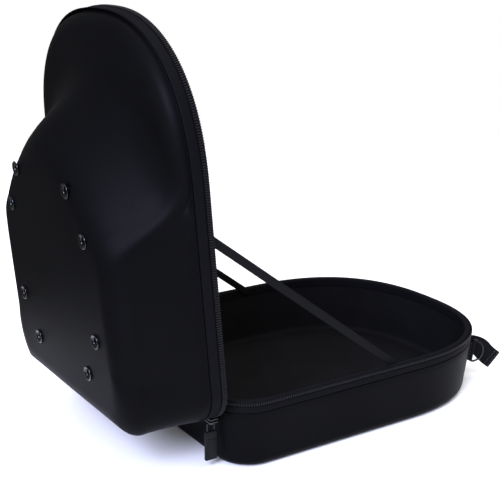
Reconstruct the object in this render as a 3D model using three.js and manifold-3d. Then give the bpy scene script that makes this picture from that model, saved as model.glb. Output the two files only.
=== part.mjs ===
// Hard carrying case for baseball caps, standing open on its base: a moulded base tray, and a lid
// with a tall crown and a lower brim end, leaning back behind it on a cloth hinge.
// Millimetres, +Z up. Origin at the middle of the flat bottom, +X towards the brim end.
// Plan coordinates run from the back edge (x = 0) to the brim end (x = LENGTH), y across.

import * as THREE from 'three';
import { mergeVertices } from 'three/addons/utils/BufferGeometryUtils.js';
import Module from 'manifold-3d';

// Plan outline, the same for base and lid
const LENGTH = 315;
const WIDTH = 251;
const REAR_CORNER = 31.5;      // radius of the two corners at the hinge
const STRAIGHT_SIDE = 187.5;   // the rounded brim end starts this far from the back edge
const FRONT_POWER = 2.43;      // curve of the brim end, 2 would be a half ellipse

// Moulded wall
const WALL = 4.5;              // foam with its cloth on both faces
const SKIN_GAP = 0.3;          // gap between pieces that are sewn or pressed together
const SKIN_INSET = 0.3;        // the wall below the zip band lies this far inside the outline

// Zip band round both rims: a cloth tape with the coil along its edge
const TAPE_WIDTH = 9;
const COIL_WIDTH = 4.8;
const TAPE_THICK = 1;
const COIL_PROUD = 0.4;        // the coil stands out past the outline

// Base tray
const BASE_HEIGHT = 60;
const BASE_DRAFT = 4.6;        // the wall leans in this much down to the bottom edge
const BASE_EDGE = 9;           // rounding between wall and bottom

// Lid, measured out from its rim
const CROWN_DEPTH = 78.8;
const CROWN_BULGE = 0.8;
const CROWN_BULGE_LONG = 110;
const CROWN_BULGE_WIDE = 100;
const CROWN_DRAFT = 17.9;
const CROWN_SHOULDER = 19.7;
const CROWN_CORNER = 25.9;
const CROWN_MIDDLE = 117.8;    // centre of the crown and of its vents, from the hinge
const REAR_DRAFT = 1.9;
const BRIM_DEPTH = 25;
const BRIM_DRAFT = 2.5;
const BRIM_SHOULDER = 13.5;
const FOOT_START = 184.8;      // foot of the crown's front slope at the sides, from the hinge
const FOOT_BOW = 78;           // the foot bows this much further out in the middle
const FOOT_HALF = 118.4;
const SLOPE_RUN = 41;          // from the foot of the slope up to the flat crown

// Lid at rest
const LEAN = 5;                // degrees back from upright
const LID_BEHIND = 3;          // its rim stands this far behind the base
const LID_DROP = TAPE_WIDTH + COIL_WIDTH + SKIN_GAP;

// Cloth hinge
const HINGE_THICK = 0.9;
const HINGE_END = 6;           // stops this far before the corners
const HINGE_SAG = 5.5;

// Vents in the crown, four on each side of the middle
const VENT_HOLE = 2.6;
const VENT_BARREL = 3.4;
const VENT_FLANGE = 6;
const VENT_RIM = 1.3;
const VENT_WASHER = 0.8;
const WASHER_GAP = 0.9;        // room for the curve of the inner face
const VENTS = [
    { along: 74, across: 48.6 },
    { along: 40, across: 70.4 },
    { along: -40, across: 70.4 },
    { along: -74, across: 48.6 },
];

// Tapes that hold the lid from falling back
const STAY_WIDTH = 7;
const STAY_THICK = 1.2;
const STAY_ON_LID = 152;       // from the hinge, where it meets the lid's rim
const STAY_ON_BASE = 166;      // from the back edge, where it meets the base's rim
const STAY_TAIL = 7.5;         // sewn length inside each rim

// Zip sliders with their pulls, parked where the coil ends at the back corners
const SLIDER_FROM_SIDE = 27.5; // in from the widest line of the sides
const SLIDER_BEHIND = 4.2;     // behind the back edge
const SLIDER_LONG = 11;
const SLIDER_WIDE = 7.6;
const SLIDER_THICK = 4;
const BRIDGE_RISE = 3;
const BRIDGE_THICK = 1.3;
const BRIDGE_WIDE = 2.6;
const LOOP_WIDE = 6.6;
const LOOP_TALL = 12;
const LOOP_WIRE = 0.7;         // radius
const PULL_WIDE = 11;
const PULL_TALL = 25;
const PULL_THICK = 3.2;
const PULL_ROUND = 1.6;
const PULL_GRIP = 4.4;         // the loop's lower end sits this deep in the pull

// Webbing loop with its D ring, on the near side of the brim end
const RING_FROM_SIDE = 42.5;   // in from the widest line of the sides
const RING_LEVEL = 33.5;
const RING_TALL = 24;
const RING_REACH = 11.5;
const RING_WIRE = 0.95;        // radius
const TAB_TALL = 19.5;
const TAB_REACH = 4;
const WEBBING = 1.3;

// Doubled webbing end next to the ring
const GRAB_FROM_SIDE = 57.5;
const GRAB_LEVEL = 33;
const GRAB_WIDE = 19;
const GRAB_THICK = 2.6;
const GRAB_ROOT = 10;          // sewn flat to the wall
const GRAB_HEM = 6;
const GRAB_HEM_THICK = 3.8;
const GRAB_REACH = 33;
const GRAB_DROP = [4, 18, 40, 36, 30];   // degrees below level, one for each stretch

// Fineness of the meshes
const CORNER_STEPS = 6;
const FRONT_STEPS = 14;
const FOOT_STEPS = 24;
const SIDE_SHARES = [0, 0.25, 0.5, 0.65, 0.74, 0.83, 0.92];
const BACK_SHARES = [0, 0.35, 0.7];
const ARC_STEPS = 4;
const VENT_SIDES = 10;
const SLIVER = 0.02;           // cuts leave no edge shorter than this

const wasm = await Module();
wasm.setup();

const CLOTH = { color: 0x15161a, roughness: 0.8, metalness: 0 };
const TAPE = { color: 0x1c1c20, roughness: 0.85, metalness: 0 };
const COIL = { color: 0x222226, roughness: 0.45, metalness: 0 };
const METAL = { color: 0x1d1d20, roughness: 0.3, metalness: 0.9 };
const RUBBER = { color: 0x242428, roughness: 0.6, metalness: 0 };

const group = new THREE.Group();

function addMesh(parent, name, geometry, finish) {
    const mesh = new THREE.Mesh(geometry, new THREE.MeshStandardMaterial(finish));
    mesh.name = name;
    parent.add(mesh);
    return mesh;
}

const clamp01 = (value) => Math.min(Math.max(value, 0), 1);
const mix = (from, to, share) => from + (to - from) * share;

// Stations round the plan outline

function outlineStations() {
    const half = [];
    for (const share of BACK_SHARES) half.push({ stretch: 'back', share });
    for (let i = 0; i < CORNER_STEPS; i++) half.push({ stretch: 'corner', share: i / CORNER_STEPS });
    for (const share of SIDE_SHARES) half.push({ stretch: 'side', share });
    for (let i = 0; i <= FRONT_STEPS; i++) half.push({ stretch: 'front', share: i / FRONT_STEPS });
    const far = half.map((station) => ({ ...station, side: 1 }));
    const near = half.slice(1, -1).reverse().map((station) => ({ ...station, side: -1 }));
    return [...far, ...near];
}

// Point of the outline at a station, pulled in by an inset
function outlinePoint({ stretch, share, side }, inset, corner = REAR_CORNER) {
    const reach = WIDTH / 2 - inset;
    const angle = share * Math.PI / 2;
    if (stretch === 'back') return { x: inset, y: side * share * (reach - corner) };
    if (stretch === 'corner') {
        return {
            x: inset + corner * (1 - Math.cos(angle)),
            y: side * (reach - corner + corner * Math.sin(angle)),
        };
    }
    if (stretch === 'side') return { x: mix(inset + corner, STRAIGHT_SIDE, share), y: side * reach };
    const power = 2 / FRONT_POWER;
    return {
        x: STRAIGHT_SIDE + (LENGTH - inset - STRAIGHT_SIDE) * Math.sin(angle) ** power,
        y: side * reach * Math.abs(Math.cos(angle)) ** power,
    };
}

const stations = outlineStations();

// Solid through rows of points. Each row is a closed loop; the first and last rows are closed
// by a point in their middle, unless the rows themselves run round in a ring.
function loft(rows, { ring = false, ends = [] } = {}) {
    const count = rows[0].length;
    const positions = rows.flat().flatMap((point) => [point.x, point.y, point.z]);
    const index = [];
    const at = (row, i) => (row % rows.length) * count + i % count;
    for (let row = 0; row < rows.length - (ring ? 0 : 1); row++) {
        for (let i = 0; i < count; i++) {
            index.push(at(row, i), at(row, i + 1), at(row + 1, i + 1));
            index.push(at(row, i), at(row + 1, i + 1), at(row + 1, i));
        }
    }
    if (!ring) {
        [0, rows.length - 1].forEach((row, end) => {
            const middle = ends[end] ?? rows[row]
                .reduce((sum, point) => sum.add(point), new THREE.Vector3())
                .divideScalar(count);
            const centre = positions.length / 3;
            positions.push(middle.x, middle.y, middle.z);
            for (let i = 0; i < count; i++) {
                if (end === 0) index.push(centre, at(row, i + 1), at(row, i));
                else index.push(centre, at(row, i), at(row, i + 1));
            }
        });
    }
    const geometry = new THREE.BufferGeometry();
    geometry.setAttribute('position', new THREE.Float32BufferAttribute(positions, 3));
    geometry.setIndex(enclosedVolume(positions, index) < 0 ? index.reverse() : index);
    return geometry;
}

// Six times the volume inside the faces, negative where they point inwards
function enclosedVolume(positions, index) {
    const corner = (i) => new THREE.Vector3(...positions.slice(index[i] * 3, index[i] * 3 + 3));
    let volume = 0;
    for (let i = 0; i < index.length; i += 3) {
        volume += corner(i).dot(corner(i + 1).cross(corner(i + 2)));
    }
    return volume;
}

function toManifold(geometry) {
    const bare = geometry.clone();
    bare.deleteAttribute('normal');
    bare.deleteAttribute('uv');
    const merged = mergeVertices(bare, 1e-4);
    return new wasm.Manifold(new wasm.Mesh({
        numProp: 3,
        vertProperties: new Float32Array(merged.attributes.position.array),
        triVerts: new Uint32Array(merged.index.array),
    }));
}

function fromManifold(manifold) {
    const { numProp, vertProperties, triVerts } = manifold.getMesh();
    const positions = [];
    for (let i = 0; i < vertProperties.length; i += numProp) {
        positions.push(vertProperties[i], vertProperties[i + 1], vertProperties[i + 2]);
    }
    const geometry = new THREE.BufferGeometry();
    geometry.setAttribute('position', new THREE.Float32BufferAttribute(positions, 3));
    geometry.setIndex([...triVerts]);
    return geometry;
}

// Moulded shells. Depth is measured from the rim, and a form gives at each station the depth,
// draft, shoulder radius and corner radius of the outer face.

const BAND = TAPE_WIDTH + COIL_WIDTH + SKIN_GAP;
const SEAT_INSET = TAPE_THICK + SKIN_INSET + SKIN_GAP;

function outerWall(station, form, top) {
    const { depth, draft, shoulder, corner } = form(station);
    const rows = [
        { inset: SEAT_INSET, depth: 0, corner: REAR_CORNER },
        { inset: SEAT_INSET, depth: BAND, corner: REAR_CORNER },
        { inset: SKIN_INSET, depth: BAND + SKIN_GAP, corner: REAR_CORNER },
    ];
    return rows.concat(wallArc(depth, SKIN_INSET, draft, shoulder, corner, station, top));
}

function innerWall(station, form, top) {
    const { depth, draft, shoulder, corner } = form(station);
    const start = SEAT_INSET + WALL;
    const lean = SKIN_INSET + draft + WALL - start;
    const rows = [
        { inset: start, depth: 0, corner: REAR_CORNER },
        { inset: start, depth: BAND * 0.6, corner: REAR_CORNER },
    ];
    const inner = (u, v) => top(u, v) - WALL;
    return rows.concat(wallArc(depth - WALL, start, lean, shoulder - WALL, corner, station, inner));
}

// The leaning wall's upper end and the rounding from it into the top
function wallArc(depth, inset, draft, shoulder, corner, station, top) {
    const rows = [];
    for (let i = 0; i <= ARC_STEPS; i++) {
        const share = i / ARC_STEPS;
        const angle = share * Math.PI / 2;
        const row = {
            inset: inset + draft + shoulder * (1 - Math.cos(angle)),
            depth: depth - shoulder * (1 - Math.sin(angle)),
            corner: mix(REAR_CORNER, corner, 0.5 + share / 2),
        };
        const { x, y } = outlinePoint(station, row.inset, row.corner);
        const settled = top(x, y) - shoulder * (1 - Math.sin(angle));
        row.depth = mix(row.depth, settled, clamp01(2 * share - 1));
        rows.push(row);
    }
    return rows;
}

// Rows from the middle of the outer top, over the wall and rim, to the middle of the inner top
function shellSolid(form, top, middle, outerShares, innerShares, place) {
    const face = (wall, thick, shares) => {
        const walls = stations.map((station) => wall(station, form, top));
        const rows = walls[0].map((_, i) => stations.map((station, s) => {
            const row = walls[s][i];
            const { x, y } = outlinePoint(station, row.inset, row.corner);
            return place(x, y, row.depth);
        }));
        const edge = stations.map((station, s) => {
            const row = walls[s].at(-1);
            return outlinePoint(station, row.inset, row.corner);
        });
        for (const share of shares) {
            rows.push(edge.map(({ x, y }) => {
                const u = mix(middle, x, share);
                const v = y * share;
                return place(u, v, top(u, v) - thick);
            }));
        }
        return rows;
    };
    const outer = face(outerWall, 0, outerShares).reverse();
    const inner = face(innerWall, WALL, innerShares);
    const ends = [place(middle, 0, top(middle, 0)), place(middle, 0, top(middle, 0) - WALL)];
    return loft([...outer, ...inner], { ends });
}

// Base tray: depth runs down from the rim to the flat bottom

const baseTop = () => BASE_HEIGHT;
const baseForm = () => ({
    depth: BASE_HEIGHT, draft: BASE_DRAFT, shoulder: BASE_EDGE, corner: REAR_CORNER - BASE_EDGE / 2,
});
const inBase = (x, y, depth) => new THREE.Vector3(x - LENGTH / 2, y, BASE_HEIGHT - depth);

addMesh(group, 'base_shell', shellSolid(baseForm, baseTop, LENGTH / 2, [0.5], [0.5], inBase), CLOTH);

// Lid: depth runs out from the rim to the crown and the brim end

const footAt = (v) => FOOT_START + FOOT_BOW * (1 - clamp01(v / FOOT_HALF) ** 2);
const footPoints = Array.from({ length: FOOT_STEPS + 1 }, (_, i) => {
    const v = WIDTH / 2 * i / FOOT_STEPS;
    return new THREE.Vector3(footAt(v), v, 0);
});
const footLines = footPoints.slice(1).map((point, i) => new THREE.Line3(footPoints[i], point));

// 1 on the crown, 0 on the brim end, by the distance behind the foot of the slope
function crownShare(u, v) {
    const here = new THREE.Vector3(u, Math.abs(v), 0);
    if (u >= footAt(here.y)) return 0;
    const away = Math.min(...footLines.map((line) => (
        line.closestPointToPoint(here, true, new THREE.Vector3()).distanceTo(here))));
    const share = clamp01(away / SLOPE_RUN);
    return share * share * (3 - 2 * share);
}

function lidTop(u, v) {
    const away = ((u - CROWN_MIDDLE) / CROWN_BULGE_LONG) ** 2 + (v / CROWN_BULGE_WIDE) ** 2;
    const crown = CROWN_DEPTH + CROWN_BULGE * (1 - clamp01(away));
    return mix(BRIM_DEPTH, crown, crownShare(u, v));
}

function lidForm(station) {
    const { x, y } = outlinePoint(station, BRIM_DRAFT + BRIM_SHOULDER);
    const high = crownShare(x, y);
    const rear = { back: 1, corner: 1 - station.share }[station.stretch] ?? 0;
    return {
        depth: lidTop(x, y),
        draft: mix(BRIM_DRAFT, mix(CROWN_DRAFT, REAR_DRAFT, rear), high),
        shoulder: mix(BRIM_SHOULDER, CROWN_SHOULDER, high),
        corner: mix(REAR_CORNER, CROWN_CORNER, high),
    };
}

const lid = new THREE.Group();
lid.position.set(-LENGTH / 2 - LID_BEHIND, 0, BASE_HEIGHT - LID_DROP);
lid.rotation.y = -THREE.MathUtils.degToRad(90 + LEAN);
lid.updateMatrixWorld();
group.add(lid);

const inLid = (u, v, depth) => new THREE.Vector3(u, v, depth);
const LID_OUTER_SHARES = [0.94, 0.87, 0.8, 0.73, 0.66, 0.59, 0.51, 0.42, 0.25];
const LID_INNER_SHARES = [0.9, 0.81, 0.73, 0.65, 0.57, 0.51, 0.42, 0.25];

// Where a vent stands in the lid: its point on the crown and the way out
function ventFrame(u, v) {
    const step = 0.5;
    const slopeU = (lidTop(u + step, v) - lidTop(u - step, v)) / (2 * step);
    const slopeV = (lidTop(u, v + step) - lidTop(u, v - step)) / (2 * step);
    const out = new THREE.Vector3(-slopeU, -slopeV, 1).normalize();
    const turn = new THREE.Quaternion().setFromUnitVectors(new THREE.Vector3(0, 1, 0), out);
    return new THREE.Matrix4().compose(
        new THREE.Vector3(u, v, lidTop(u, v)), turn, new THREE.Vector3(1, 1, 1));
}

const ventFrames = VENTS.flatMap(({ along, across }) => [-1, 1].map(
    (side) => ventFrame(CROWN_MIDDLE + along, side * across)));

let lidBody = toManifold(shellSolid(
    lidForm, lidTop, CROWN_MIDDLE, LID_OUTER_SHARES, LID_INNER_SHARES, inLid));
for (const frame of ventFrames) {
    const drill = new THREE.CylinderGeometry(
        VENT_BARREL + SKIN_GAP, VENT_BARREL + SKIN_GAP, WALL * 4, VENT_SIDES).applyMatrix4(frame);
    lidBody = lidBody.subtract(toManifold(drill));
}
addMesh(lid, 'lid_shell', fromManifold(lidBody.simplify(SLIVER)), CLOTH);

// Vent eyelets: outer flange, barrel through the wall, and washer inside

function eyeletGeometry() {
    const inside = -WALL - WASHER_GAP;
    const profile = [
        [VENT_HOLE, inside - VENT_WASHER],
        [VENT_FLANGE - 0.5, inside - VENT_WASHER],
        [VENT_FLANGE - 0.5, inside],
        [VENT_BARREL, inside],
        [VENT_BARREL, SKIN_GAP],
        [VENT_FLANGE, SKIN_GAP],
        [mix(VENT_HOLE, VENT_FLANGE, 0.8), SKIN_GAP + VENT_RIM * 0.8],
        [mix(VENT_HOLE, VENT_FLANGE, 0.45), SKIN_GAP + VENT_RIM],
        [VENT_HOLE, SKIN_GAP + VENT_RIM * 0.4],
        [VENT_HOLE, inside - VENT_WASHER],
    ].map(([radius, level]) => new THREE.Vector2(radius, level));
    return fromManifold(toManifold(new THREE.LatheGeometry(profile, VENT_SIDES)));
}

ventFrames.forEach((frame, i) => {
    addMesh(lid, `vent_eyelet_${i + 1}`, eyeletGeometry().applyMatrix4(frame), METAL);
});

// Zip band: strips let into the seat round each rim, open along the hinge

const bandStations =
    stations.slice(BACK_SHARES.length, stations.length - BACK_SHARES.length + 1);

function bandStrip(from, to, outInset, inInset, place) {
    return loft(bandStations.map((station) => {
        const out = outlinePoint(station, outInset);
        const back = outlinePoint(station, inInset);
        return [place(out.x, out.y, from), place(out.x, out.y, to),
            place(back.x, back.y, to), place(back.x, back.y, from)];
    }));
}

const seatFace = SEAT_INSET - SKIN_GAP;
for (const [name, parent, place] of [['base', group, inBase], ['lid', lid, inLid]]) {
    const tape = bandStrip(
        COIL_WIDTH + SKIN_GAP, BAND - SKIN_GAP, seatFace - TAPE_THICK, seatFace, place);
    const coil = bandStrip(0, COIL_WIDTH, -COIL_PROUD, seatFace, place);
    addMesh(parent, `${name}_zip_tape`, tape, TAPE);
    addMesh(parent, `${name}_zip_coil`, coil, COIL);
}

// Cloth hinge: lies in both seats at the back and sags in a fold between them

function hingeStrip() {
    const seat = seatFace - HINGE_THICK / 2;
    const onLid = (depth) => lid.localToWorld(new THREE.Vector3(seat, 0, depth));
    const foot = BASE_HEIGHT - BAND;
    const back = -LENGTH / 2;
    const clear = SKIN_GAP + HINGE_THICK;
    const sagBack = back - LID_BEHIND - clear;
    const path = [
        new THREE.Vector3(back + seat, 0, BASE_HEIGHT - 1),
        new THREE.Vector3(back + seat, 0, foot + 1.6),
        new THREE.Vector3(back - clear, 0, foot - 0.6),
        new THREE.Vector3(back - clear - 0.3, 0, foot - HINGE_SAG * 0.7),
        new THREE.Vector3(mix(back, sagBack, 0.75), 0, foot - HINGE_SAG - HINGE_THICK),
        new THREE.Vector3(sagBack - 1.5, 0, foot - HINGE_SAG * 0.8),
        onLid(3.4).add(new THREE.Vector3(0, 0, -1.2)),
        onLid(5),
        onLid(BAND - 1),
    ];
    const reach = WIDTH / 2 - REAR_CORNER - HINGE_END;
    return loft(path.map((point, i) => {
        const before = path[Math.max(i - 1, 0)];
        const after = path[Math.min(i + 1, path.length - 1)];
        const along = after.clone().sub(before).normalize();
        const across = new THREE.Vector3(0, 1, 0).cross(along).multiplyScalar(HINGE_THICK / 2);
        return [[-reach, 1], [reach, 1], [reach, -1], [-reach, -1]].map(([y, face]) => (
            point.clone().addScaledVector(across, face).setY(y)));
    }));
}

addMesh(group, 'hinge_strip', hingeStrip(), TAPE);

// Stay tapes: sewn inside the rims of base and lid, taut between them

function stayTape(side) {
    const flat = WIDTH / 2 - SEAT_INSET - WALL - SKIN_GAP - STAY_THICK;
    const onBase = inBase(STAY_ON_BASE, 0, 0);
    const onLid = lid.localToWorld(inLid(STAY_ON_LID, 0, 0));
    const along = onLid.clone().sub(onBase).normalize();
    const top = onLid.addScaledVector(along, STAY_TAIL);
    const bottom = onBase.addScaledVector(along, -STAY_TAIL);
    const across = new THREE.Vector3(0, 1, 0).cross(along).multiplyScalar(STAY_WIDTH / 2);
    return loft([bottom, top].map((point) => (
        [[0, 1], [1, 1], [1, -1], [0, -1]].map(([thick, edge]) => (
            point.clone().addScaledVector(across, edge).setY(side * (flat + thick * STAY_THICK)))))));
}

addMesh(group, 'stay_tape_near', stayTape(-1), TAPE);
addMesh(group, 'stay_tape_far', stayTape(1), TAPE);

// Zip sliders and pulls

function roundedBox(width, height, radius, depth) {
    const shape = new THREE.Shape();
    const x = width / 2;
    const y = height / 2;
    shape.moveTo(-x + radius, -y);
    shape.lineTo(x - radius, -y);
    shape.absarc(x - radius, -y + radius, radius, -Math.PI / 2, 0);
    shape.lineTo(x, y - radius);
    shape.absarc(x - radius, y - radius, radius, 0, Math.PI / 2);
    shape.lineTo(-x + radius, y);
    shape.absarc(-x + radius, y - radius, radius, Math.PI / 2, Math.PI);
    shape.lineTo(-x, -y + radius);
    shape.absarc(-x + radius, -y + radius, radius, Math.PI, Math.PI * 1.5);
    const options = { depth, bevelEnabled: false, curveSegments: 3 };
    return new THREE.ExtrudeGeometry(shape, options).translate(0, 0, -depth / 2);
}

// Ring of round wire through a closed run of points, given in the plane of x and z
function wireRing(points, radius, sides) {
    return loft(points.map((point, i) => {
        const before = points.at(i - 1);
        const after = points[(i + 1) % points.length];
        const along = after.clone().sub(before).normalize();
        const out = new THREE.Vector3(0, 1, 0).cross(along);
        return Array.from({ length: sides }, (_, k) => {
            const angle = 2 * Math.PI * k / sides;
            return point.clone()
                .addScaledVector(out, radius * Math.cos(angle))
                .setY(point.y + radius * Math.sin(angle));
        });
    }), { ring: true });
}

function loopPath(width, height, radius) {
    const points = [];
    const middles = [[1, 1, 0], [-1, 1, 90], [-1, -1, 180], [1, -1, 270]];
    for (const [sideX, sideZ, start] of middles) {
        for (const turn of [0, 45, 90]) {
            const angle = THREE.MathUtils.degToRad(start + turn);
            points.push(new THREE.Vector3(
                sideX * (width / 2 - radius) + radius * Math.cos(angle), 0,
                sideZ * (height / 2 - radius) + radius * Math.sin(angle)));
        }
    }
    return points;
}

// The body hangs under the lid's corner, with its bridge below and its length across the case
function sliderGeometry() {
    const body = roundedBox(SLIDER_WIDE, SLIDER_LONG, 2, SLIDER_THICK);
    const outer = roundedBox(SLIDER_LONG * 0.7, BRIDGE_RISE * 2, BRIDGE_RISE * 0.6, BRIDGE_WIDE);
    const hollow = roundedBox(
        SLIDER_LONG * 0.7 - BRIDGE_THICK * 2, (BRIDGE_RISE - BRIDGE_THICK) * 2, 0.8, BRIDGE_WIDE * 2);
    const turn = new THREE.Matrix4().makeRotationX(Math.PI / 2).premultiply(
        new THREE.Matrix4().makeRotationZ(Math.PI / 2));
    const level = new THREE.Matrix4().makeTranslation(0, 0, -SLIDER_THICK / 2);
    const bridge = toManifold(outer.applyMatrix4(turn).applyMatrix4(level))
        .subtract(toManifold(hollow.applyMatrix4(turn).applyMatrix4(level)));
    return fromManifold(toManifold(body).add(bridge));
}

function pullGeometry() {
    const pull = roundedBox(PULL_WIDE, PULL_TALL, PULL_ROUND, PULL_THICK)
        .rotateX(Math.PI / 2)
        .translate(0, 0, -PULL_TALL / 2);
    const slot = wireRing(loopPath(LOOP_WIDE, LOOP_TALL, 1.8), LOOP_WIRE + SKIN_GAP, 6)
        .translate(0, 0, LOOP_TALL / 2 - PULL_GRIP);
    return fromManifold(toManifold(pull).subtract(toManifold(slot)));
}

// The leaning coil is lowest over the slider's back edge; the wire's top bar hangs in the bridge
const coilDip = (SLIDER_BEHIND + SLIDER_WIDE / 2 - LID_BEHIND) * Math.sin(THREE.MathUtils.degToRad(LEAN));
const sliderTop = BASE_HEIGHT - LID_DROP - COIL_PROUD - coilDip - SKIN_GAP;
const sliderLevel = sliderTop - SLIDER_THICK / 2;
const loopTop = sliderLevel - SLIDER_THICK / 2 - BRIDGE_RISE + BRIDGE_THICK + SKIN_GAP + LOOP_WIRE;
const loopMiddle = loopTop - LOOP_TALL / 2;
for (const [side, name] of [[-1, 'near'], [1, 'far']]) {
    const x = -LENGTH / 2 - SLIDER_BEHIND;
    const y = side * (WIDTH / 2 - SLIDER_FROM_SIDE);
    const slider = addMesh(group, `zip_slider_${name}`, sliderGeometry(), METAL);
    slider.position.set(x, y, sliderLevel);
    const wire = wireRing(loopPath(LOOP_WIDE, LOOP_TALL, 1.8), LOOP_WIRE, 6);
    const loop = addMesh(group, `pull_wire_${name}`, wire, METAL);
    loop.position.set(x, y, loopMiddle);
    const pull = addMesh(group, `zip_pull_${name}`, pullGeometry(), RUBBER);
    pull.position.set(x, y, loopMiddle - LOOP_TALL / 2 + PULL_GRIP);
}

// Places on the brim end's wall: x points out of the wall, z up along its slope

function frontStation(across) {
    const share = Math.acos((Math.abs(across) / (WIDTH / 2)) ** (FRONT_POWER / 2)) / (Math.PI / 2);
    return { stretch: 'front', share, side: Math.sign(across) };
}

function wallFrame(across, level) {
    const slope = BASE_DRAFT / (BASE_HEIGHT - BASE_EDGE - BAND);
    const inset = SKIN_INSET + slope * (BASE_HEIGHT - BAND - level);
    const station = frontStation(across);
    const before = outlinePoint({ ...station, share: station.share - 0.01 }, inset);
    const after = outlinePoint({ ...station, share: station.share + 0.01 }, inset);
    const along = new THREE.Vector3(after.x - before.x, after.y - before.y, 0).normalize();
    const out = new THREE.Vector3(Math.abs(along.y), Math.sign(across) * Math.abs(along.x), 0);
    const up = out.clone().multiplyScalar(slope).add(new THREE.Vector3(0, 0, 1)).normalize();
    const across2 = new THREE.Vector3().crossVectors(up, out).normalize();
    const face = new THREE.Vector3().crossVectors(across2, up);
    const { x, y } = outlinePoint(station, inset);
    return new THREE.Matrix4().makeBasis(face, across2, up)
        .setPosition(x - LENGTH / 2, y, level);
}

// Webbing loop: two layers round the straight side of the ring, sewn to the wall
function ringTab() {
    const round = RING_WIRE + SKIN_GAP + WEBBING;
    const shape = new THREE.Shape();
    shape.moveTo(SKIN_GAP * 2, -round);
    shape.lineTo(TAB_REACH, -round);
    shape.absarc(TAB_REACH, 0, round, -Math.PI / 2, Math.PI / 2);
    shape.lineTo(SKIN_GAP * 2, round);
    const hole = new THREE.Path();
    hole.absarc(TAB_REACH, 0, RING_WIRE + SKIN_GAP, 0, 2 * Math.PI);
    shape.holes.push(hole);
    const options = { depth: TAB_TALL, bevelEnabled: false, curveSegments: 10 };
    return new THREE.ExtrudeGeometry(shape, options).translate(0, 0, -TAB_TALL / 2);
}

function dRing() {
    const half = RING_TALL / 2 - RING_WIRE;
    const points = [new THREE.Vector3(0, 0, -half + 1), new THREE.Vector3(0, 0, half - 1)];
    const steps = 12;
    for (let i = 0; i <= steps; i++) {
        const angle = mix(80, -80, i / steps) * Math.PI / 180;
        points.push(new THREE.Vector3(
            1.2 + (RING_REACH - RING_WIRE - 1.2) * Math.cos(angle), 0, half * Math.sin(angle)));
    }
    return wireRing(points, RING_WIRE, 6).translate(TAB_REACH, 0, 0);
}

const ringFrame = wallFrame(RING_FROM_SIDE - WIDTH / 2, RING_LEVEL);
addMesh(group, 'ring_tab', ringTab().applyMatrix4(ringFrame), TAPE);
addMesh(group, 'd_ring', dRing().applyMatrix4(ringFrame), METAL);

// Doubled webbing end: its root sewn flat on the wall, then standing out and drooping
function grabTab() {
    const rootLift = SKIN_GAP * 2 + GRAB_THICK / 2;
    const bend = GRAB_THICK;
    const centre = [
        { point: new THREE.Vector3(rootLift, GRAB_ROOT, 0), thick: GRAB_THICK },
        { point: new THREE.Vector3(rootLift, bend, 0), thick: GRAB_THICK },
        { point: new THREE.Vector3(rootLift + bend, 0, 0), thick: GRAB_THICK },
    ];
    const free = GRAB_REACH - GRAB_HEM;
    const lengths = [...Array(GRAB_DROP.length - 1).fill(free / (GRAB_DROP.length - 1)), GRAB_HEM];
    const point = centre.at(-1).point.clone();
    GRAB_DROP.forEach((drop, i) => {
        const angle = THREE.MathUtils.degToRad(drop);
        point.add(new THREE.Vector3(Math.cos(angle), 0, -Math.sin(angle)).multiplyScalar(lengths[i]));
        const thick = i >= GRAB_DROP.length - 2 ? GRAB_HEM_THICK : GRAB_THICK;
        centre.push({ point: point.clone(), thick });
    });
    return loft(centre.map(({ point: middle, thick }, i) => {
        const before = centre[Math.max(i - 1, 0)].point;
        const after = centre[Math.min(i + 1, centre.length - 1)].point;
        const along = after.clone().sub(before).normalize();
        const face = new THREE.Vector3(-along.y, Math.hypot(along.x, along.z), 0).normalize();
        const wide = new THREE.Vector3().crossVectors(along, face).normalize();
        return [[1, 1], [1, -1], [-1, -1], [-1, 1]].map(([edge, side]) => middle.clone()
            .addScaledVector(wide, edge * GRAB_WIDE / 2)
            .addScaledVector(face, side * thick / 2));
    }));
}

const grabFrame = wallFrame(GRAB_FROM_SIDE - WIDTH / 2, GRAB_LEVEL);
addMesh(group, 'grab_tab', grabTab().applyMatrix4(grabFrame), TAPE);

export default group;
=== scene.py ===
import math

import bmesh
import bpy
import numpy as np
from mathutils import Matrix, Vector


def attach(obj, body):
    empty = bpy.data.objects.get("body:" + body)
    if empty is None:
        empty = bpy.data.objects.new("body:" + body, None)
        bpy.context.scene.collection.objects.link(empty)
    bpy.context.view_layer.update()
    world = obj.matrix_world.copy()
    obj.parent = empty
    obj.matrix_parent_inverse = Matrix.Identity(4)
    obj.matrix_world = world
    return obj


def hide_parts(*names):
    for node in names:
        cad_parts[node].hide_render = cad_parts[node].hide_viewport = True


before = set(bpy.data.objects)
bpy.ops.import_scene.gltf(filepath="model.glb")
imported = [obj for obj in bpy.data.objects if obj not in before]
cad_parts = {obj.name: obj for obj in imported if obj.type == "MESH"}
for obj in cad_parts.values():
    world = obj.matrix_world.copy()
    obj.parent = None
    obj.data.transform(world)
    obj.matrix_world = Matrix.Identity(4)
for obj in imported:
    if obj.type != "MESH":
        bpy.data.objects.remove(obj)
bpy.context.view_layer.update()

# ---------------------------------------------------------------------------
# Base tray. One sheet of foam, pressed hot in a mould with cloth on its outside and a napped
# lining inside. The tray is 60 mm high, and its rim has a flat seat outside for the zip tape.
# Sizes are in millimetres, and MM makes them metres.

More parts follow.
